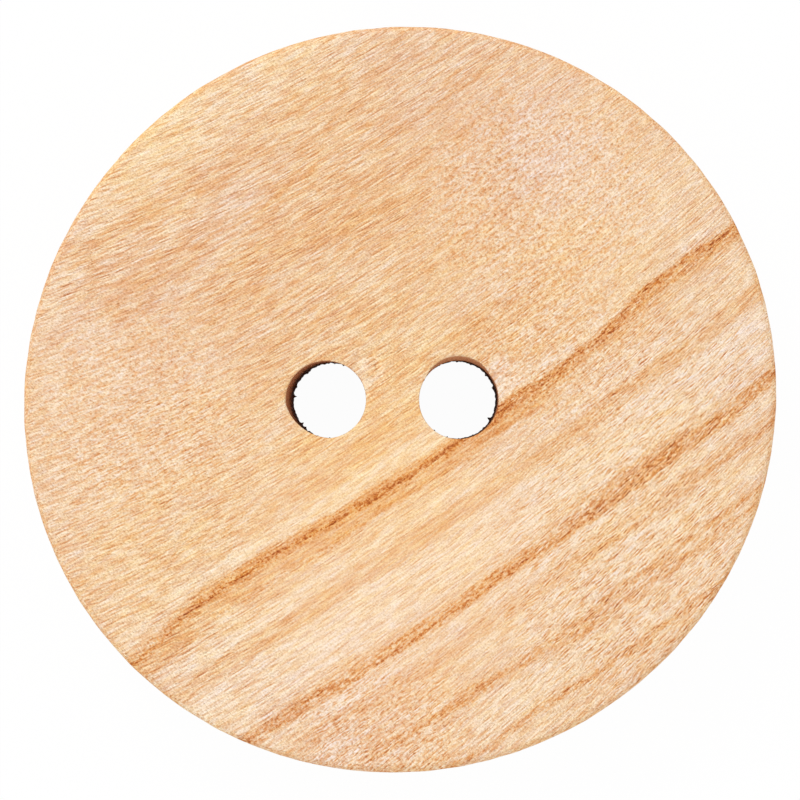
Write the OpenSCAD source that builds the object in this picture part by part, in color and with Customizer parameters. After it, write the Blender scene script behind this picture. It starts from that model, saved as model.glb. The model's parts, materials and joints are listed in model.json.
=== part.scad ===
// Flat sew-through button, turned and drilled from one piece of wood.
// It lies on its back: the back is at z = 0 and the face looks up along +Z.
// The two thread holes stand side by side along X.

/* [Outline] */
// Diameter as turned, which the button keeps along the grain
diameter = 30.2; // [20:0.1:45]
// How much narrower it has become across the grain, where wood shrinks most as it dries
shrinkage = 0.6; // [0:0.1:2]
// Angle of the grain, measured from the line through the two holes
grain_angle = 33; // [0:1:179]
// Thickness from back to face
thickness = 4.5; // [2.5:0.1:8]
// Radius of the sanded edge round the face and the back
edge_radius = 0.3; // [0.1:0.05:1]

/* [Thread holes] */
// Diameter of each thread hole
hole_diameter = 3.1; // [1.5:0.1:4]
// Distance between the centres of the two holes
hole_spacing = 5.3; // [4.5:0.1:9]
// How far the pair of holes sits from the middle of the button, along X
pair_offset = -0.3; // [-1:0.1:1]
// Radius of the worn rim at both mouths of a hole
rim_radius = 0.15; // [0.05:0.01:0.3]

/* [Hidden] */

// Smoothness of the preview's curves
$fn = 128;

// The dried outline is an oval of four arcs: two at the ends of the grain and two along its sides.
// Neighbouring arcs meet smoothly on the line through both their centres,
// which rises 3 for every 4 along the grain.
joint_run_share = 4;
joint_rise_share = 3;
joint_length_share = norm([joint_run_share, joint_rise_share]);
// What one share is, so that the oval comes out as long and as wide as stated
joint_unit = shrinkage / 2 / (joint_run_share + joint_rise_share - joint_length_share);
// How far the end arcs' centres lie from the middle, along the grain
end_shift = joint_unit * joint_run_share;
end_arc_radius = diameter / 2 - end_shift;
// How far the side arcs' centres lie past the middle, across the grain
side_shift = joint_unit * joint_rise_share;
side_arc_radius = (diameter - shrinkage) / 2 + side_shift;

// Radius of a hole's straight wall
hole_radius = hole_diameter / 2;
// The worn rim starts this share of its radius down the wall, so it meets the face with a faint edge
rim_depth_share = 0.8;
rim_depth = rim_radius * rim_depth_share;
// How far a hole's cut reaches past the face and the back
cut_overrun = edge_radius;

wood_colour = [0.94, 0.78, 0.62];

// Half section of a disc of the given radius, from its axis out to a rounded edge
module disc_section(radius) {
    square([radius - edge_radius, thickness]);
    translate([0, edge_radius])
        square([radius, thickness - 2 * edge_radius]);
    for (height = [edge_radius, thickness - edge_radius])
        translate([radius - edge_radius, height])
            circle(r = edge_radius);
}

// The wedge of a disc that stands inside a V, which opens along +X from the disc's axis
module disc_wedge(radius, run, rise) {
    intersection() {
        rotate_extrude()
            disc_section(radius);
        linear_extrude(thickness)
            polygon(radius * [[0, 0], [run, -rise], [run, rise]]);
    }
}

// The turned disc, a little oval because it has drawn in across the grain
module blank() {
    rotate([0, 0, grain_angle])
        for (half_turn = [0, 180])
            rotate([0, 0, half_turn]) {
                translate([end_shift, 0, 0])
                    disc_wedge(end_arc_radius, joint_run_share, joint_rise_share);
                translate([0, -side_shift, 0])
                    rotate([0, 0, 90])
                        disc_wedge(side_arc_radius, joint_rise_share, joint_run_share);
            }
}

// Half section of the wood that wear takes from one mouth of a hole, with the mouth at the section's base
module worn_mouth_section() {
    difference() {
        translate([0, -cut_overrun])
            square([hole_radius + rim_radius, cut_overrun + rim_depth]);
        translate([hole_radius + rim_radius, rim_depth])
            circle(r = rim_radius);
    }
}

// Everything that drilling and wear take out for one thread hole
module thread_hole() {
    rotate_extrude() {
        translate([0, -cut_overrun])
            square([hole_radius, thickness + 2 * cut_overrun]);
        worn_mouth_section();
        translate([0, thickness])
            mirror([0, 1])
                worn_mouth_section();
    }
}

module button() {
    color(wood_colour)
        difference() {
            blank();
            for (side = [-1, 1])
                translate([pair_offset + side * hole_spacing / 2, 0, 0])
                    thread_hole();
        }
}

button();
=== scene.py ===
"""A flat wooden sew-through button, lying on its back on a white table and seen from above."""
import json
import math

import bmesh
import bpy
from mathutils import Matrix, Vector, noise


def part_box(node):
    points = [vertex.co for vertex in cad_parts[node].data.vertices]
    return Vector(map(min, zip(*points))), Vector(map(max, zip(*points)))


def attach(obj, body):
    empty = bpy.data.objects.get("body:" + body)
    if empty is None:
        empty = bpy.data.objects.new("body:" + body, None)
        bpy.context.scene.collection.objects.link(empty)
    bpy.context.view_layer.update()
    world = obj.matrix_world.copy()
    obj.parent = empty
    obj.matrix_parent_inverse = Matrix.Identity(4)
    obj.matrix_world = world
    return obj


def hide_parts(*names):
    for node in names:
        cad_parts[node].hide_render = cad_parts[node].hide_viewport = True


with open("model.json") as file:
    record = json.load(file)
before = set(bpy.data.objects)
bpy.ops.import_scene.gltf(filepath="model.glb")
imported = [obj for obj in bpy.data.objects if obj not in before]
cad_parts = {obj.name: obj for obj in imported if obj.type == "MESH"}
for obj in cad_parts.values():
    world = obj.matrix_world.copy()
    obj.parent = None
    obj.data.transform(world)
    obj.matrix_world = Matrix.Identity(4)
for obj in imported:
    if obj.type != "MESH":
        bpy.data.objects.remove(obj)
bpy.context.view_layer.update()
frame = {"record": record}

MM = 0.001

# Sizes of the button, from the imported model
back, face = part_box("button")
THICKNESS = face.z - back.z
HALF_BOX = (face - back) / 2
BORES = [m for m in frame["record"]["mounts"] if m["kind"] == "bore"]
HOLES = sorted((Vector(m["pos_m"]) for m in BORES), key=lambda h: h.x)
HOLE_RADIUS = BORES[0]["dims"]["r_mm"] * MM
PAIR_MIDDLE = (HOLES[0] + HOLES[1]) / 2
HOLE_SPACING = (HOLES[1] - HOLES[0]).length

# The outline is an oval that dried a little narrower across the grain, and fits the model's box. Its edge
# and the mouths of the holes are rounded
OVAL_ANGLE = math.radians(33)
EDGE_RADIUS = 0.3 * MM
MOUTH_WEAR = 0.05 * MM

# How finely the button is cut into faces
PAIR_ZONE = 6.5 * MM
ROUND_STEPS = 380
DIVIDE_STEPS = 120
ZONE_RINGS = 24
FACE_RINGS = 60
BACK_RINGS = 20
WALL_RINGS = 14
EDGE_STEPS = 5
MOUTH_STEPS = 3
# How its places are told apart: corners by their angle, mouths by how near a hole they are, the long edges
# across the face and the back by their length and how level they are, and the rim by its distance
CORNER_ANGLE = math.radians(60)
MOUTH_ZONE = PAIR_ZONE / 2
SPOKE_LENGTH = EDGE_RADIUS * 1.5
LEVEL_WITHIN = MOUTH_WEAR / 10
RIM_ZONE = PAIR_ZONE * 2

# Wear: how the holes are out of round, how far the drill had drifted at their backs, and how long, how high
# up and how wide the fibres frayed there, where the noise that makes them is above FRAY_FROM
OUT_OF_ROUND = (Vector((0.05, -0.01)) * MM, Vector((0.03, 0.02)) * MM)
DRILL_DRIFT = (Vector((0.20, -0.06)) * MM, Vector((-0.09, -0.02)) * MM)
FRAY_LENGTH = 0.3 * MM
FRAY_HEIGHT = 0.9 * MM
FRAY_WIDTH = 0.13 * MM
FRAY_FROM = 0.42
ROUGH_WALL = 0.06 * MM
# The share of a wall's wear that is left where its mouth meets the face, how slowly its fibres change on
# their way down, and how far apart the patterns of the two holes lie
WALL_BLEND = 0.2
FIBRE_STRETCH = 0.15
HOLE_SHIFT = 9
# How deep and how long the rim's dents are
RIM_UNEVEN = 0.02 * MM
RIM_LUMP = 0.7 * MM
# Where a mouth isn't round: the hole, the way from its axis, how narrow the spot is, how far the edge lies
# out or, below 0, in, and how deep the spot goes. Thread has worn the right hole, and a tuft of fibre is
# left in the left one
MOUTH_SPOTS = (
    (1, Vector((-0.05, 1.0)), 0.60, 0.20 * MM, 0.55 * MM),
    (0, Vector((-0.62, -0.78)), 0.70, -0.11 * MM, 1.2 * MM),
)
SPOT_REACH = 1.2 * MM
# Torn grain beside the holes' mouths: its middle from the hole's axis, its reach and depth, how long its
# lumps are, how much they vary about their mean, and the share of the reach over which it fades
TORN_PLACE = Vector((1.55, 1.05)) * MM
TORN_REACH = 1.1 * MM
TORN_DEPTH = 0.07 * MM
TORN_LUMP = 0.3 * MM
TORN_VARIES = 0.5
TORN_MEAN = 0.6
TORN_FADE = 0.5

# The grain: its direction on the face, how the growth lines slope, sag and lean as they go down into the
# wood, and how the fibres sag and fan out
GRAIN_ANGLE = math.radians(34)
LINE_SLOPE = 0.013
LINE_SAG_PER_MM = 0.0022
LINE_LEAN = 0.45
FIBRE_SAG_PER_MM = 0.0049
FIBRE_FAN_PER_MM = 0.0119


def oval_axes():
    """Half the oval's length and width, from half the box that it fills at its angle."""
    c, s = math.cos(OVAL_ANGLE) ** 2, math.sin(OVAL_ANGLE) ** 2
    x, y = HALF_BOX.x ** 2, HALF_BOX.y ** 2
    return math.sqrt((x * c - y * s) / (c - s)), math.sqrt((y * c - x * s) / (c - s))


def edges_of(verts):
    return list(dict.fromkeys(e for v in verts for e in v.link_edges))


def rise(edge):
    return abs(edge.verts[0].co.z - edge.verts[1].co.z)


def nearest_hole(co):
    return min(range(2), key=lambda i: (co.xy - HOLES[i].xy).length)


def from_axis(co):
    return co.xy - HOLES[nearest_hole(co)].xy


def flat_sheet(bm):
    """The outline with its two holes: a round zone bridged to both holes and widened to the oval rim."""
    at_pair = Matrix.Translation((PAIR_MIDDLE.x, PAIR_MIDDLE.y, 0))
    bmesh.ops.create_circle(bm, cap_ends=True, segments=ROUND_STEPS, radius=PAIR_ZONE, matrix=at_pair)
    zone = bm.edges[:]
    cut = bmesh.ops.bisect_plane(bm, geom=bm.verts[:] + bm.edges[:] + bm.faces[:], dist=MM / 1000,
                                 plane_co=(PAIR_MIDDLE.x, 0, 0), plane_no=(1, 0, 0))
    divide = [e for e in cut["geom_cut"] if isinstance(e, bmesh.types.BMEdge)]
    bmesh.ops.subdivide_edges(bm, edges=divide, cuts=DIVIDE_STEPS - 1)
    halves = sorted(bm.faces, key=lambda f: f.calc_center_median().x)
    borders = [list(half.edges) for half in halves]
    bmesh.ops.delete(bm, geom=halves, context="FACES_ONLY")
    for border, hole in zip(borders, HOLES):
        at_hole = Matrix.Translation((hole.x, hole.y, 0))
        ring = bmesh.ops.create_circle(bm, segments=len(border), radius=HOLE_RADIUS, matrix=at_hole)
        bmesh.ops.bridge_loops(bm, edges=border + edges_of(ring["verts"]))

    half_length, half_width = oval_axes()
    turn = Matrix.Rotation(OVAL_ANGLE, 4, "Z")
    grow = Matrix.Diagonal((half_length / PAIR_ZONE, half_width / PAIR_ZONE, 1, 1))
    rim = bmesh.ops.extrude_edge_only(bm, edges=zone)["geom"]
    bmesh.ops.transform(bm, matrix=turn @ grow @ turn.inverted() @ at_pair.inverted(),
                        verts=[v for v in rim if isinstance(v, bmesh.types.BMVert)])


def raise_and_round(bm):
    """The sheet raised to the button's thickness, with its rim and the holes' mouths rounded."""
    sheet = bm.verts[:] + bm.edges[:] + bm.faces[:]
    raised = bmesh.ops.extrude_face_region(bm, geom=sheet, use_keep_orig=True)["geom"]
    top = [v for v in raised if isinstance(v, bmesh.types.BMVert)]
    bmesh.ops.translate(bm, verts=top, vec=(0, 0, THICKNESS))
    bmesh.ops.recalc_face_normals(bm, faces=bm.faces)

    corners = [e for e in bm.edges if e.calc_face_angle(0) > CORNER_ANGLE and rise(e) < EDGE_RADIUS]
    at_mouth = [from_axis(e.verts[0].co).length < MOUTH_ZONE for e in corners]
    mouths = [e for e, near in zip(corners, at_mouth) if near]
    rims = [e for e, near in zip(corners, at_mouth) if not near]
    for edges, offset, steps in ((mouths, MOUTH_WEAR, MOUTH_STEPS), (rims, EDGE_RADIUS, EDGE_STEPS)):
        bmesh.ops.bevel(bm, geom=edges, offset=offset, segments=steps, profile=0.5, affect="EDGES",
                        material=-1)


def cut_finely(bm):
    """Rings across the face and down the walls, close enough to carry the wear."""
    def cut(edges, rings):
        bmesh.ops.subdivide_edges(bm, edges=edges, cuts=rings, use_grid_fill=True)

    spokes = [e for e in bm.edges if rise(e) < LEVEL_WITHIN and e.calc_length() > SPOKE_LENGTH]
    middles = [(e, (e.verts[0].co + e.verts[1].co) / 2) for e in spokes]
    on_face = [(e, m) for e, m in middles if m.z > THICKNESS / 2]
    inner = [e for e, m in on_face if (m.xy - PAIR_MIDDLE.xy).length < PAIR_ZONE]
    outer = [e for e, m in on_face if (m.xy - PAIR_MIDDLE.xy).length > PAIR_ZONE]
    under = [e for e, m in middles if m.z < THICKNESS / 2]
    cut(inner, ZONE_RINGS)
    cut(outer, FACE_RINGS)
    cut(under, BACK_RINGS)
    cut([e for e in bm.edges if rise(e) > THICKNESS / 2], WALL_RINGS)


def wear(bm):
    """The drill's drift and frayed fibres in the holes, worn and torn mouths, and an uneven rim."""
    for vert in bm.verts:
        co = vert.co
        hole = nearest_hole(co)
        out = from_axis(co)
        if out.length < HOLE_RADIUS + 2 * MOUTH_WEAR:
            wear_wall(co, hole, out)
        if out.length < HOLE_RADIUS + SPOT_REACH:
            wear_mouth(co, hole, out)
        torn = max(0, 1 - (out - TORN_PLACE).length / TORN_REACH)
        if torn > 0 and co.z > THICKNESS - EDGE_RADIUS:
            lump = max(0, noise.noise(co / TORN_LUMP) * TORN_VARIES + TORN_MEAN)
            co.z -= TORN_DEPTH * min(1, torn / TORN_FADE) * lump
        if co.xy.length > RIM_ZONE:
            co.xy *= 1 - RIM_UNEVEN / HALF_BOX.y * (0.5 + noise.noise(co / RIM_LUMP))


def wear_wall(co, hole, out):
    """One point on the wall of a hole, moved as the drill and the thread left it."""
    way = out.normalized()
    on_wall = min(1, max(0, (HOLE_RADIUS + MOUTH_WEAR - out.length) / MOUTH_WEAR + WALL_BLEND))
    place = Vector((out.x, out.y, co.z * FIBRE_STRETCH)) / FRAY_WIDTH
    fibre = noise.noise(place + Vector((hole * HOLE_SHIFT, 0, 0)))
    low = 1 - co.z / THICKNESS
    left_over = math.sqrt(max(0, 1 - max(0, way.dot(DRILL_DRIFT[hole].normalized()))))
    frayed = max(0, 1 - co.z / FRAY_HEIGHT) * max(0, fibre - FRAY_FROM) * left_over
    co.xy -= way * on_wall * (FRAY_LENGTH * frayed / (1 - FRAY_FROM) + ROUGH_WALL * fibre * low * left_over)
    co.xy += (DRILL_DRIFT[hole] * low + OUT_OF_ROUND[hole] * way) * on_wall


def wear_mouth(co, hole, out):
    """One point at the mouth of a hole, drawn out or in at the spots where it isn't round."""
    way = out.normalized()
    over = min(1, 1 - (out.length - HOLE_RADIUS) / SPOT_REACH)
    for at, spot_way, narrow, off, depth in MOUTH_SPOTS:
        if at == hole:
            side = max(0, (way.dot(spot_way) - narrow) / (1 - narrow))
            down = max(0, 1 - (THICKNESS - co.z) / depth)
            co.xy += way * off * side * down ** 2 * over


def button_form():
    """The button as one closed shape, a flat oval with two thread holes."""
    bm = bmesh.new()
    flat_sheet(bm)
    raise_and_round(bm)
    cut_finely(bm)
    wear(bm)
    return bm


def feed(tree, socket, value):
    """Join a field to a shader's socket, or set the socket to a plain value."""
    if isinstance(value, Field):
        tree.links.new(value.socket, socket)
    elif isinstance(value, bpy.types.NodeSocket):
        tree.links.new(value, socket)
    else:
        socket.default_value = value


def add(tree, kind, settings=None, inputs=None):
    """One shader node, with its settings, and its inputs by name or by number."""
    made = tree.nodes.new(kind)
    for key, value in (settings or {}).items():
        setattr(made, key, value)
    for key, value in (inputs or {}).items():
        feed(tree, made.inputs[key], value)
    return made


class Field:
    """A number that a material works out at each point. Fields add and multiply as numbers do."""

    def __init__(self, tree, socket):
        self.tree = tree
        self.socket = socket

    def math(self, operation, *others):
        values = dict(enumerate((self, *others)))
        return Field(self.tree, add(self.tree, "ShaderNodeMath", {"operation": operation}, values).outputs[0])

    def __add__(self, other):
        return self.math("ADD", other)

    def __sub__(self, other):
        return self.math("SUBTRACT", other)

    def __mul__(self, other):
        return self.math("MULTIPLY", other)

    def __truediv__(self, other):
        return self.math("DIVIDE", other)

    def lower(self, other):
        return self.math("MINIMUM", other)

    def higher(self, other):
        return self.math("MAXIMUM", other)

    def step(self, low, high, start=0.0, end=1.0):
        """start below low, end above high, and a smooth step between them."""
        made = add(self.tree, "ShaderNodeMapRange", {"interpolation_type": "SMOOTHSTEP"},
                   {0: self, 1: low, 2: high, 3: start, 4: end})
        return Field(self.tree, made.outputs[0])

    def within(self, low, high, edge):
        """1 from low to high, falling smoothly to 0 beyond them over the width of an edge."""
        return self.step(low - edge, low).lower(self.step(high, high + edge, 1.0, 0.0))

    def blend(self, start, end):
        """start where this field is 0, and end where it is 1."""
        return self * (end - start) + start


def material(name):
    made = bpy.data.materials.new(name)
    made.use_nodes = True
    made.node_tree.nodes.clear()
    return made, made.node_tree


def srgb(red, green, blue):
    """A colour as a screen shows it, from 0 to 255, as the linear colour that a shader takes."""
    def linear(c):
        c /= 255
        return c / 12.92 if c <= 0.04045 else ((c + 0.055) / 1.055) ** 2.4
    return (linear(red), linear(green), linear(blue), 1.0)


# Growth lines, dark and speckled: from and to across the grain, how soft their edges are and how dark they
# are, then from and to along the grain, all places in millimetres from the middle of the face
DARK_LINES = (
    (-2.66, -2.60, 0.08, 0.110, -20, -12.0),
    (-2.66, -2.60, 0.08, 0.165, -10.5, -5.5),
    (-2.68, -2.58, 0.10, 0.190, -4.2, 2.5),
    (-2.80, -2.40, 0.18, 0.060, -11, 2.5),
    (-2.54, -2.42, 0.12, 0.150, 2.0, 20),
    (-2.84, -2.66, 0.15, 0.070, 2.5, 20),
    (-3.52, -3.42, 0.15, 0.060, -14, -5.0),
    (-3.32, -3.10, 0.16, 0.055, -5.0, 4.0),
    (-8.24, -7.92, 0.20, 0.115, -20, 20),
    (-8.27, -8.17, 0.09, 0.060, -8, 3.0),
    (-7.80, -7.45, 0.18, 0.070, 4.0, 8.0),
    (-8.30, -8.16, 0.12, 0.065, 9.0, 20),
    (-11.32, -11.12, 0.20, 0.075, -20, -4.0),
    (-11.50, -11.36, 0.18, 0.085, -4.0, 1.5),
    (-11.80, -11.68, 0.16, 0.080, 0.5, 20),
    (-11.30, -11.20, 0.13, 0.090, 2.5, 20),
    (-13.45, -13.33, 0.16, 0.095, -20, 20),
    (-9.56, -9.48, 0.10, 0.070, 3.5, 20),
    (8.70, 8.80, 0.15, 0.035, 3.0, 20),
    (9.40, 9.55, 0.15, 0.025, -12, 6.0),
)
# Soft bands between and beside the lines, written the same way; those below 0 are pale
SOFT_BANDS = (
    (-3.20, -2.45, 0.30, 0.050, -20, 4.0),
    (-3.00, -2.45, 0.25, 0.030, 5.5, 20),
    (-1.50, 1.00, 0.50, -0.018, 10.0, 20),
    (-1.95, -1.70, 0.35, -0.055, -20, 3.0),
    (-2.05, -1.95, 0.20, -0.035, 3.0, 20),
    (-1.45, -1.25, 0.30, 0.020, -4.0, 20),
    (-0.90, -0.50, 0.25, 0.030, -6.0, 4.5),
    (0.45, 0.85, 0.40, 0.030, -4.5, 4.5),
    (-0.10, 0.60, 0.40, 0.025, 4.0, 10.0),
    (-4.45, -4.15, 0.30, -0.030, -20, 20),
    (-5.25, -4.75, 0.22, 0.035, -20, 20),
    (-7.30, -5.60, 0.30, -0.045, -20, 20),
    (-8.85, -8.60, 0.20, -0.030, -20, 20),
    (-9.55, -9.20, 0.25, 0.030, -20, 20),
    (-12.90, -12.30, 0.40, -0.030, -3.0, 20),
    (-10.80, -9.90, 0.25, -0.020, -3.0, 20),
    (-10.60, -9.40, 0.50, 0.010, -20, -6.5),
    (7.50, 11.60, 2.40, 0.033, -7.5, 9.7),
    (3.50, 7.00, 1.60, 0.028, -4.0, 8.5),
    (12.80, 20.0, 0.80, -0.028, -20, 20),
)
# Dark dots lie scattered on both sides of the strongest line: from, to and how soft
DOTTED = (-2.75, -2.45, 0.35)
# How the strongest line wanders from its smooth course: along the grain, and across it, in millimetres
LINE_WANDER = ((-14.4, -0.42), (-12.2, 0.0), (-10.2, 0.29), (-7.2, 0.22), (-5.0, 0.0), (0.0, -0.03),
               (5.0, -0.08), (8.3, -0.16), (11.3, 0.32), (14.0, 0.2))
# The wood's colours from its darkest line to its palest fibre, by tone
TONES = (
    (0.30, srgb(148, 72, 40)),
    (0.42, srgb(183, 105, 64)),
    (0.50, srgb(204, 130, 81)),
    (0.585, srgb(217, 149, 97)),
    (0.667, srgb(229, 170, 119)),
    (0.745, srgb(237, 190, 145)),
    (0.792, srgb(240, 202, 160)),
    (0.827, srgb(244, 211, 173)),
    (0.871, srgb(249, 221, 187)),
    (0.915, srgb(253, 229, 199)),
    (0.98, srgb(255, 237, 212)),
)
MEAN_TONE = 0.789
# How a yellow heart tints the wood at full strength; the opposite tint is lilac
YELLOW_TINT = (0.025, 0.0, -0.14)
# Tinted patches: place on the face and reach in millimetres, and how yellow or, below 0, how lilac
TINTED = (
    ((-0.6, -0.8), 6.0, 1.05),
    ((-5.2, -4.8), 8.0, 0.5),
    ((0.8, -4.8), 4.0, 0.4),
    ((-10.0, 10.8), 5.5, 1.35),
    ((-4.4, 13.0), 3.5, 0.5),
    ((7.2, 5.4), 4.5, 0.5),
    ((4.6, 10.4), 5.0, -1.0),
    ((0.8, 13.2), 4.0, -0.6),
    ((-10.0, 4.4), 6.0, -0.55),
    ((-7.0, 8.8), 4.0, -0.75),
    ((1.0, 3.4), 4.5, 0.5),
    ((-12.5, 2.0), 4.5, -0.2),
    ((-10.4, -6.6), 4.5, 0.6),
    ((9.5, -2.5), 6.5, 0.3),
    ((-2.8, -13.4), 5.5, -0.55),
    ((14.2, 1.2), 4.0, -0.5),
    ((8.8, 1.2), 3.0, -0.3),
)
# Where fibres come up to the face and look short: place on the face and reach in millimetres, and how short
SHORT_GRAIN = (
    ((5.6, 8.0), 6.5, 1.0),
    ((-10.4, -0.4), 6.0, 0.75),
    ((-0.6, -13.2), 4.5, 0.9),
    ((6.5, 2.0), 5.5, 0.85),
    ((9.2, -6.5), 7.0, 0.3),
)
# Where the cut ends of fibres show as short strokes, written the same way
STROKED = (
    ((9.0, -6.5), 8.0, 1.0),
    ((11.0, 0.5), 5.5, 0.9),
    ((-0.6, -13.0), 5.0, 0.8),
    ((-9.5, -3.0), 6.0, 0.5),
    ((5.0, 2.5), 4.0, 0.6),
)
# Where the grain is calm: place on the face and reach, in millimetres
CALM_GRAIN = ((0.0, -6.3), 8.5)
# Painted shade of the rounded edge darkens the rim from this share of the way out
RIM_PAINTED_SHADE_FROM = 0.9765

# Cells of the patterns in the wood: their length along the fibres and their width, in millimetres
GRIT_CELL = (0.08, 0.07)
SPECK_CELL = (0.15, 0.12)
BLOTCH_CELL = (0.6, 0.22)
STRAND_CELL = (0.7, 0.06)
LONG_STRAND_CELL = (1.8, 0.085)
PORE_CELL = (0.7, 0.095)
LONG_PORE_CELL = (1.4, 0.09)
STROKE_CELL = (0.42, 0.09)
LONG_STROKE_CELL = (0.9, 0.085)
STREAK_CELL = (9.0, 0.5)
THIN_STREAK_CELL = (2.2, 0.26)
SHORT_STREAK_CELL = (1.4, 0.13)
CLOUD_CELL = (5.0, 2.2)
CHIP_CELL = (0.45, 0.13)
FINE_TINT_CELL = (0.3, 0.085)
TINT_CELL = (0.9, 0.22)
BROAD_TINT_CELL = (4.0, 1.2)
# Cells of what bends the fibres and crowds the pores
WAVE_CELL = (1.5, 0.4)
UNRULY_CELL = (0.8, 0.5)
CROWD_CELL = (5.0, 1.1)
# Cells of what bends, frays and breaks up the growth lines
LINE_BEND_CELL = (4.0, 6.0)
LINE_WAVE_CELL = (0.7, 0.22)
LINE_FRAY_CELL = (0.15, 0.12)
LINE_SPECK_CELL = (0.17, 0.11)
LINE_PATCH_CELL = (0.55, 0.16)
LINE_FADE_CELL = (2.4, 1.2)
LINE_DOT_CELL = (0.14, 0.12)

# How the growth lines bend and fray, in millimetres
LINE_BEND = 0.5
LINE_WAVE = 0.35
LINE_FRAY = 0.18
# How the lines break up into specks: from and to in a noise, and how dark they are below and above that
LINE_SPECK = (-0.09, 0.11, 0.35, 1.6)
LINE_SPECK_ROUGHNESS = 0.6
# How much patches and slow fading vary the lines, how dark the dots are, and the darkest that a line gets
LINE_PATCH = 3.2
LINE_PATCH_LEAST = 0.25
LINE_FADE = 1.6
LINE_DOT = 0.18
LINE_DARKEST = 0.34
# How far a line or band takes to end along the grain, in millimetres, unless it runs the whole length
LINE_TAPER = 1.5
WHOLE_LENGTH = (-20, 20)
# The strongest line's wander takes the wood near it along: from, to and how soft, across the grain, and the
# length of grain that it is given for
WANDER_ZONE = (-3.3, -2.0, 1.2)
WANDER_SPAN = 30

# Steps between neighbouring strands and layers, so that each has a pattern of its own
STRAND_STEP = 7.3
STRAND_LAYER_STEP = 5.7
DASH_LAYER_STEP = 7.3
# The textures' values between which a strand goes from dark to pale, and a dash from its middle to its edge
STRAND_RANGE = (0.36, 0.64)
DASH_RANGE = (0.10, 0.45)
# Where the long patterns start across the grain, so that they don't lie on the short ones
LONG_STRAND_START = 30
LONG_PORE_START = 17
LONG_STROKE_START = 11
# How pale the painted highlight beside a groove is, and how far off it lies, as a share of the groove's width
PORE_PAINTED_HIGHLIGHT = 0.45
STROKE_PAINTED_HIGHLIGHT = 0.3
PAINTED_HIGHLIGHT_SHARE = 0.55
# How far the fibres bend, in millimetres, and how unevenly the pores are crowded
WAVE = 0.12
UNRULY = 0.25
CROWD = 2.5
CROWD_LEAST = 0.3
# The share of its reach that a patch fills before it fades, and how strong the fibres are on calm grain
PATCH_CORE = 0.4
CALM_SHARE = 0.68

# How strong the patterns are; a pair is for plain grain, and for short or stroked grain
GRIT = (0.95, 0.80)
SPECK = 0.66
BLOTCH = 0.28
STRAND = (0.11, 0.05)
LONG_STRAND = (0.08, 0.0)
PORE = (0.14, 0.05)
STROKE = 0.28
STREAK = 0.072
THIN_STREAK = 0.055
SHORT_STREAK = 0.14
CLOUD = 0.05
CHIP = 0.4
# How much stronger streaks are on stroked grain
STROKED_STREAK = 1.45
# Where the noise of specks and short streaks is cut off, so that they are mostly dark, and what makes up for
# it in the streaks
SPECK_TOP = 0.07
SHORT_STREAK_TOP = 0.04
SHORT_STREAK_LIFT = 0.03
# How they show in the tone
FIBRE_TONE = 0.023
GRIT_TONE = 0.24
PORE_TONE = 0.7
STROKE_TONE = 0.8
STROKED_TONE = 0.016
RIM_PAINTED_SHADE_TONE = 0.05
TORN_TONE = 0.02
# How they show as plain shade, and as relief
GRIT_SHADE = 0.6
PORE_SHADE = 0.3
STROKE_SHADE = 0.12
GRIT_RELIEF = 0.43
SPECK_RELIEF = 0.4
# How they show in the tint, yellow above 0 and lilac below it
MEAN_TINT = -0.26
FINE_TINT = 2.0
TINT = 3.0
BROAD_TINT = 2.0
LINE_TINT = 6.0
BAND_TINT = 9.0
STREAK_TINT = -3.0
PORE_TINT = 3.0
BLOTCH_TINT = -3.0
STROKE_TINT = -1.5
RIM_PAINTED_SHADE_TINT = 0.5
TORN_TINT = -0.6

# How torn the grain looks beside the left and the right hole, and the share of the patch that is all torn
TORN_SHARES = (0.7, 1.0)
TORN_CORE = 0.3
# The walls of the holes, in millimetres: how far past the drill's radius they reach, and over what depth
# they start at the mouth. Then from what depth up to what depth painted shade goes from black to brown in
# both holes, and higher up in the right one, and over what width the right one's side starts
WALL_REACH = (0.25, 0.32)
WALL_TOP = (-0.10, -0.03)
WALL_PAINTED_SHADE_DEPTH = (-3.6, -1.8)
RIGHT_WALL_PAINTED_SHADE_DEPTH = (-2.2, -0.6)
SIDE_BLEND = 0.1
# The walls' brown at the mouth, and the near black of the painted shade deep in the holes
WALL_BROWN = srgb(205, 140, 98)
WALL_PAINTED_SHADE_BLACK = srgb(84, 38, 14)

# The sanded finish
RELIEF_DEPTH = 0.22 * MM
RELIEF_FILTER = 0.6
ROUGHNESS = 0.7
WALL_ROUGHNESS = 0.9
SPECULAR = 0.06


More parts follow.
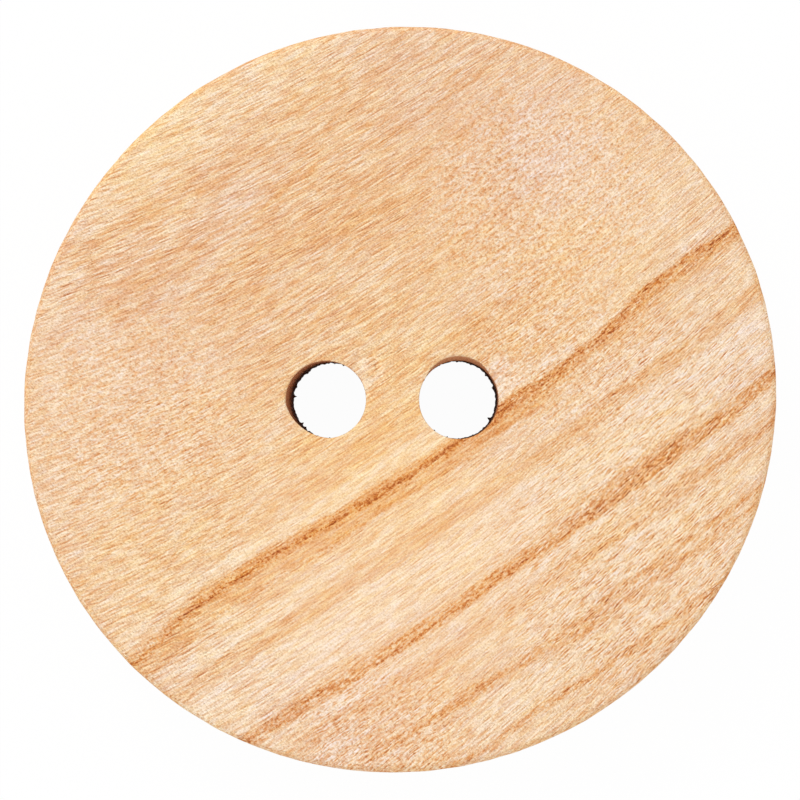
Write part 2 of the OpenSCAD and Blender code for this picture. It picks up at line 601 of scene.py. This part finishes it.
class Grain:
    """Where a point lies in the wood, in millimetres: on the face, and along, across and into the grain."""

    def __init__(self, tree):
        self.tree = tree
        here = add(tree, "ShaderNodeTexCoord").outputs["Object"]
        mm = add(tree, "ShaderNodeVectorMath", {"operation": "SCALE"}, {0: here, "Scale": 1 / MM}).outputs[0]
        turned = add(tree, "ShaderNodeMapping", None,
                     {"Vector": mm, "Location": (0, 0, -THICKNESS / MM), "Rotation": (0, 0, -GRAIN_ANGLE)})
        self.x, self.y = self.parts(mm)[:2]
        self.on_face = add(tree, "ShaderNodeVectorMath", {"operation": "MULTIPLY"},
                           {0: mm, 1: (1, 1, 0)}).outputs[0]
        self.along, self.across, self.depth = self.parts(turned.outputs[0])
        # Across the fibres, which curve more than the growth lines do
        self.fibres = (self.across - self.along * self.along * FIBRE_SAG_PER_MM
                       + self.along * self.across * FIBRE_FAN_PER_MM)

    def parts(self, vector):
        made = add(self.tree, "ShaderNodeSeparateXYZ", None, {0: vector})
        return [Field(self.tree, socket) for socket in made.outputs]

    def vector(self, *parts):
        return add(self.tree, "ShaderNodeCombineXYZ", None, dict(enumerate(parts))).outputs[0]

    def layer(self, width):
        """The number of the layer, as thick as a cell is wide, that a point lies in."""
        return (self.depth / width + 0.5).math("FLOOR")

    def noise(self, across, cell, detail=2.0, roughness=0.55):
        """Noise about 0, in cells of the given length and width."""
        length, width = cell
        place = self.vector(self.along / length, across / width, self.depth / width)
        made = add(self.tree, "ShaderNodeTexNoise", None,
                   {"Vector": place, "Scale": 1.0, "Detail": detail, "Roughness": roughness})
        return Field(self.tree, made.outputs[0]) - 0.5

    def strands(self, across, cell):
        """Straight strands about 0, each of one width and lighter and darker along its length."""
        length, width = cell
        column = (across / width).math("FLOOR")
        place = self.vector(self.along / length, column * STRAND_STEP, self.layer(width) * STRAND_LAYER_STEP)
        made = add(self.tree, "ShaderNodeTexNoise", None, {"Vector": place, "Scale": 1.0, "Detail": 1.0})
        return Field(self.tree, made.outputs[0]).step(*STRAND_RANGE, -0.5, 0.5)

    def dashes(self, across, cell):
        """Separate dashes, from faint to strong, from 0 to 1."""
        length, width = cell
        place = self.vector(self.along / length, across / width + self.layer(width) * DASH_LAYER_STEP)
        made = add(self.tree, "ShaderNodeTexVoronoi", {"voronoi_dimensions": "2D"},
                   {"Vector": place, "Scale": 1.0})
        body = Field(self.tree, made.outputs["Distance"]).step(*DASH_RANGE, 1.0, 0.0)
        colour = add(self.tree, "ShaderNodeSeparateColor", None, {0: made.outputs["Color"]})
        strength = Field(self.tree, colour.outputs[0])
        return body * strength

    def grooves(self, across, cell, painted_highlight):
        """Dark grooves along the fibres, below 0, each with a painted highlight on its lower, lit flank."""
        return self.dashes(across + cell[1] * PAINTED_HIGHLIGHT_SHARE, cell) * painted_highlight - self.dashes(across, cell)

    def near(self, middle, reach, core=0.0):
        """1 about a place on the face, out to the core's share of its reach, then falling to 0."""
        away = add(self.tree, "ShaderNodeVectorMath", {"operation": "DISTANCE"},
                   {0: self.on_face, 1: (middle[0], middle[1], 0)}).outputs["Value"]
        return Field(self.tree, away).step(reach * core, reach, 1.0, 0.0)


def highest(fields):
    top = fields[0]
    for field in fields[1:]:
        top = top.higher(field)
    return top


def sum_of(fields):
    total = fields[0]
    for field in fields[1:]:
        total = total + field
    return total


def line_wander(grain):
    """How far the strongest line lies from its smooth course, in millimetres."""
    curve = add(grain.tree, "ShaderNodeFloatCurve", None, {"Value": grain.along / WANDER_SPAN + 0.5})
    points = curve.mapping.curves[0].points
    while len(points) < len(LINE_WANDER):
        points.new(0.5, 0.5)
    for point, (at, off) in zip(points, LINE_WANDER):
        point.location = (at / WANDER_SPAN + 0.5, off + 0.5)
    curve.mapping.update()
    return Field(grain.tree, curve.outputs[0]) - 0.5


def growth(grain):
    """How dark the speckled lines and the soft bands make the wood, and where a point lies across them."""
    along, across, fibres = grain.along, grain.across, grain.fibres
    rings = across - along * (along * LINE_SAG_PER_MM + LINE_SLOPE) + grain.depth * LINE_LEAN
    rings = rings - line_wander(grain) * rings.within(*WANDER_ZONE)
    rings = (rings + grain.noise(across, LINE_BEND_CELL, 1.0) * LINE_BEND
             + grain.noise(across, LINE_WAVE_CELL) * LINE_WAVE
             + grain.noise(across, LINE_FRAY_CELL, 1.0) * LINE_FRAY)

    def bands(table):
        made = []
        for low, high, edge, dark, start, end in table:
            band = rings.within(low, high, edge) * dark
            made.append(band if (start, end) == WHOLE_LENGTH else band * along.within(start, end, LINE_TAPER))
        return sum_of(made)

    speck = grain.noise(fibres, LINE_SPECK_CELL, 2.0, LINE_SPECK_ROUGHNESS).step(*LINE_SPECK)
    patch = (grain.noise(fibres, LINE_PATCH_CELL, 1.0) * LINE_PATCH + 1.0).higher(LINE_PATCH_LEAST)
    fade = grain.noise(across, LINE_FADE_CELL) * LINE_FADE + 1.0
    dots = grain.dashes(fibres, LINE_DOT_CELL) * rings.within(*DOTTED) * LINE_DOT
    lines = (bands(DARK_LINES) * speck * patch * fade + dots).lower(LINE_DARKEST)
    return lines, bands(SOFT_BANDS) * fade, rings


def fibre_texture(grain):
    """The fibres' tone about 0, shade about 1, relief and tint, and where they show as strokes."""
    fibres = grain.fibres
    short = highest([grain.near(middle, reach, PATCH_CORE) * share for middle, reach, share in SHORT_GRAIN])
    stroked = highest([grain.near(middle, reach, PATCH_CORE) * share for middle, reach, share in STROKED])
    smooth = short.higher(stroked)
    calm = grain.near(*CALM_GRAIN, PATCH_CORE).blend(1.0, CALM_SHARE)
    wavy = fibres + grain.noise(fibres, WAVE_CELL, 1.0) * WAVE
    unruly = fibres + grain.noise(fibres, UNRULY_CELL, 1.0) * UNRULY
    crowd = (grain.noise(grain.across, CROWD_CELL, 1.0) * CROWD + 1.0).higher(CROWD_LEAST)

    grit = grain.noise(fibres, GRIT_CELL, 1.0) * short.blend(*GRIT)
    speck = grain.noise(fibres, SPECK_CELL, 1.0).lower(SPECK_TOP) * short * SPECK
    blotch = grain.noise(unruly, BLOTCH_CELL, 1.0) * smooth * BLOTCH
    strand = grain.strands(wavy, STRAND_CELL) * smooth.blend(*STRAND)
    long_strand = grain.strands(wavy + LONG_STRAND_START, LONG_STRAND_CELL) * smooth.blend(*LONG_STRAND)
    # Pores and strokes: dark grooves, each with a painted highlight along its lower flank
    pore = (grain.grooves(wavy, PORE_CELL, PORE_PAINTED_HIGHLIGHT)
            + grain.grooves(wavy + LONG_PORE_START, LONG_PORE_CELL, PORE_PAINTED_HIGHLIGHT))
    pore = pore * smooth.blend(*PORE) * crowd
    stroke = (grain.grooves(unruly, STROKE_CELL, STROKE_PAINTED_HIGHLIGHT)
              + grain.grooves(unruly + LONG_STROKE_START, LONG_STROKE_CELL, STROKE_PAINTED_HIGHLIGHT))
    stroke = stroke * stroked * STROKE

    tone = (grit * GRIT_TONE + speck + blotch + strand + long_strand + pore * PORE_TONE + stroke * STROKE_TONE
            + stroked * STROKED_TONE + FIBRE_TONE)
    shade = grit * GRIT_SHADE + pore * PORE_SHADE + stroke * STROKE_SHADE
    relief = grit * GRIT_RELIEF + speck * SPECK_RELIEF
    tint = pore * PORE_TINT + blotch * BLOTCH_TINT + stroke * STROKE_TINT
    return tone * calm, shade * calm + 1.0, relief * calm, tint, stroked


def hole_walls(grain):
    """Where the wood is the wall of a hole, and how far painted shade darkens it towards black lower down."""
    fold = (grain.x - PAIR_MIDDLE.x / MM).math("ABSOLUTE") - HOLE_SPACING / MM / 2
    past_radius = (fold * fold + grain.y * grain.y).math("SQRT") - HOLE_RADIUS / MM
    wall = past_radius.step(*WALL_REACH, 1.0, 0.0) * grain.depth.step(*WALL_TOP, 1.0, 0.0)
    on_right = grain.x.step(PAIR_MIDDLE.x / MM, PAIR_MIDDLE.x / MM + SIDE_BLEND)
    right_wall_painted_shade = grain.depth.step(*RIGHT_WALL_PAINTED_SHADE_DEPTH, 1.0, 0.0) * on_right
    return wall, grain.depth.step(*WALL_PAINTED_SHADE_DEPTH, 1.0, 0.0).higher(right_wall_painted_shade)


def tone_colour(tree, tone):
    """The wood's colour at a tone."""
    ramp = add(tree, "ShaderNodeValToRGB", None, {"Fac": tone})
    stops = ramp.color_ramp.elements
    while len(stops) < len(TONES):
        stops.new(0.5)
    for stop, (at, colour) in zip(stops, TONES):
        stop.position = at
        stop.color = colour
    return ramp.outputs["Color"]


def wood():
    """Pale fruitwood with growth lines, long streaks, short fibres and pores, the same all through."""
    made, tree = material("wood")
    grain = Grain(tree)
    across, fibres = grain.across, grain.fibres
    lines, bands, rings = growth(grain)
    fibre, shade, relief, fibre_tint, stroked = fibre_texture(grain)
    streak = (grain.noise(rings, STREAK_CELL) * STREAK
              + grain.noise(rings, THIN_STREAK_CELL, 1.0) * THIN_STREAK)
    short_streak = grain.noise(fibres, SHORT_STREAK_CELL, 1.0).lower(SHORT_STREAK_TOP) + SHORT_STREAK_LIFT
    streak = streak * stroked.blend(1.0, STROKED_STREAK) + short_streak * stroked * SHORT_STREAK
    cloud = grain.noise(across, CLOUD_CELL) * CLOUD

    half_length, half_width = oval_axes()
    out_along, out_across = grain.along * (MM / half_length), across * (MM / half_width)
    # Painted shade: the rim gets darker and yellower towards its rounded edge
    rim_painted_shade = (out_along * out_along + out_across * out_across).math("SQRT").step(RIM_PAINTED_SHADE_FROM, 1.0)
    torn = sum_of([grain.near((hole.xy + TORN_PLACE) / MM, TORN_REACH / MM, TORN_CORE) * share
                   for hole, share in zip(HOLES, TORN_SHARES)])
    chips = grain.noise(fibres, CHIP_CELL, 1.0) * CHIP * torn
    tone = (fibre + streak + cloud - lines - bands - rim_painted_shade * RIM_PAINTED_SHADE_TONE + torn * TORN_TONE + chips
            + MEAN_TONE)

    tint = [grain.noise(fibres, FINE_TINT_CELL, 1.0) * FINE_TINT, grain.noise(across, TINT_CELL) * TINT,
            grain.noise(across, BROAD_TINT_CELL) * BROAD_TINT, lines * LINE_TINT + MEAN_TINT,
            bands.higher(0.0) * BAND_TINT, streak.lower(0.0) * STREAK_TINT, fibre_tint,
            rim_painted_shade * RIM_PAINTED_SHADE_TINT, torn * TORN_TINT]
    tint += [grain.near(middle, reach) * yellow for middle, reach, yellow in TINTED]
    tinted = add(tree, "ShaderNodeVectorMath", {"operation": "MULTIPLY_ADD"},
                 {0: sum_of(tint), 1: YELLOW_TINT, 2: (1, 1, 1)}).outputs[0]
    tinted = add(tree, "ShaderNodeVectorMath", {"operation": "SCALE"}, {0: tinted, "Scale": shade}).outputs[0]
    colour = add(tree, "ShaderNodeVectorMath", {"operation": "MULTIPLY"},
                 {0: tone_colour(tree, tone), 1: tinted}).outputs[0]

    # Painted shade: the holes' walls get darker with depth, and higher up in the right hole
    wall, wall_painted_shade = hole_walls(grain)
    shaded_wall_colour = add(tree, "ShaderNodeMix", {"data_type": "RGBA"}, {0: wall_painted_shade, 6: WALL_BROWN, 7: WALL_PAINTED_SHADE_BLACK})
    wall_shaded_colour = add(tree, "ShaderNodeMix", {"data_type": "RGBA"}, {0: wall, 6: colour, 7: shaded_wall_colour.outputs[2]})
    bump = add(tree, "ShaderNodeBump", None,
               {"Strength": 1.0, "Distance": RELIEF_DEPTH, "Filter Width": RELIEF_FILTER, "Height": relief})
    surface = add(tree, "ShaderNodeBsdfPrincipled", None,
                  {"Base Color": wall_shaded_colour.outputs[2], "Roughness": wall.blend(ROUGHNESS, WALL_ROUGHNESS),
                   "Specular IOR Level": SPECULAR, "Normal": bump.outputs[0]})
    add(tree, "ShaderNodeOutputMaterial", None, {"Surface": surface.outputs[0]})
    return made


def piece(name, bm, finish):
    mesh = bpy.data.meshes.new(name)
    bm.to_mesh(mesh)
    bm.free()
    for polygon in mesh.polygons:
        polygon.use_smooth = True
    made = bpy.data.objects.new(name, mesh)
    bpy.context.scene.collection.objects.link(made)
    made.data.materials.append(finish)
    return made


# The studio: a table that glows for the camera, a white surround and a lamp, in metres and watts
WHITE = (1, 1, 1, 1)
TABLE_WHITE = (0.9, 0.9, 0.9, 1)
TABLE_GLOW = 0.97
SURROUND_STRENGTH = 0.925
LAMP_SIZE = 0.5
LAMP_POWER = 2.63
LAMP_PLACE = Vector((-0.38, 0.66, 0.6))
# The camera's film and lens in millimetres, where it stands, how it tilts towards the button, and the
# nearest that it sees
FILM_WIDTH = 36
LENS = 226.1
CAMERA_PLACE = Vector((1.9 * MM, -0.1 * MM, THICKNESS + 200 * MM))
CAMERA_TILT = (math.radians(0.024), math.radians(0.542), 0)
NEAREST_SEEN = 1 * MM


def table():
    """A white table top, which the camera sees lit from within, so that it stays white but keeps a shadow."""
    made, tree = material("white_table")
    path = add(tree, "ShaderNodeLightPath").outputs
    rays = [Field(tree, path[name]) for name in ("Is Camera Ray", "Is Glossy Ray", "Is Transmission Ray")]
    seen = rays[0].higher(rays[1]).higher(rays[2])
    matte = add(tree, "ShaderNodeBsdfDiffuse", None, {"Color": TABLE_WHITE})
    glow = add(tree, "ShaderNodeEmission", None, {"Color": WHITE, "Strength": 1.0})
    mixed = add(tree, "ShaderNodeMixShader", None,
                {0: seen * TABLE_GLOW, 1: matte.outputs[0], 2: glow.outputs[0]})
    add(tree, "ShaderNodeOutputMaterial", None, {"Surface": mixed.outputs[0]})
    bm = bmesh.new()
    bmesh.ops.create_grid(bm, x_segments=1, y_segments=1, size=1.0)
    piece("table", bm, made)


def light():
    """Even studio light: a white surround and one large soft lamp from the upper left."""
    world = bpy.data.worlds.new("surround")
    bpy.context.scene.world = world
    world.use_nodes = True
    surround = world.node_tree.nodes["Background"]
    surround.inputs["Color"].default_value = WHITE
    surround.inputs["Strength"].default_value = SURROUND_STRENGTH
    lamp = bpy.data.lights.new("soft_lamp", "AREA")
    lamp.shape = "DISK"
    lamp.size = LAMP_SIZE
    lamp.energy = LAMP_POWER
    made = bpy.data.objects.new("soft_lamp", lamp)
    made.location = LAMP_PLACE
    made.rotation_euler = (-LAMP_PLACE).to_track_quat("-Z", "Y").to_euler()
    bpy.context.scene.collection.objects.link(made)


def camera():
    """Straight above the button and a little to the right of its middle, as the hole walls show."""
    data = bpy.data.cameras.new("camera")
    data.sensor_width = FILM_WIDTH
    data.lens = LENS
    data.clip_start = NEAREST_SEEN
    made = bpy.data.objects.new("camera", data)
    made.location = CAMERA_PLACE
    made.rotation_euler = CAMERA_TILT
    bpy.context.scene.collection.objects.link(made)
    bpy.context.scene.camera = made


bpy.context.scene.view_settings.view_transform = "Standard"
button = piece("wooden_button", button_form(), wood())
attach(button, "root")
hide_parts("button")
table()
light()
camera()
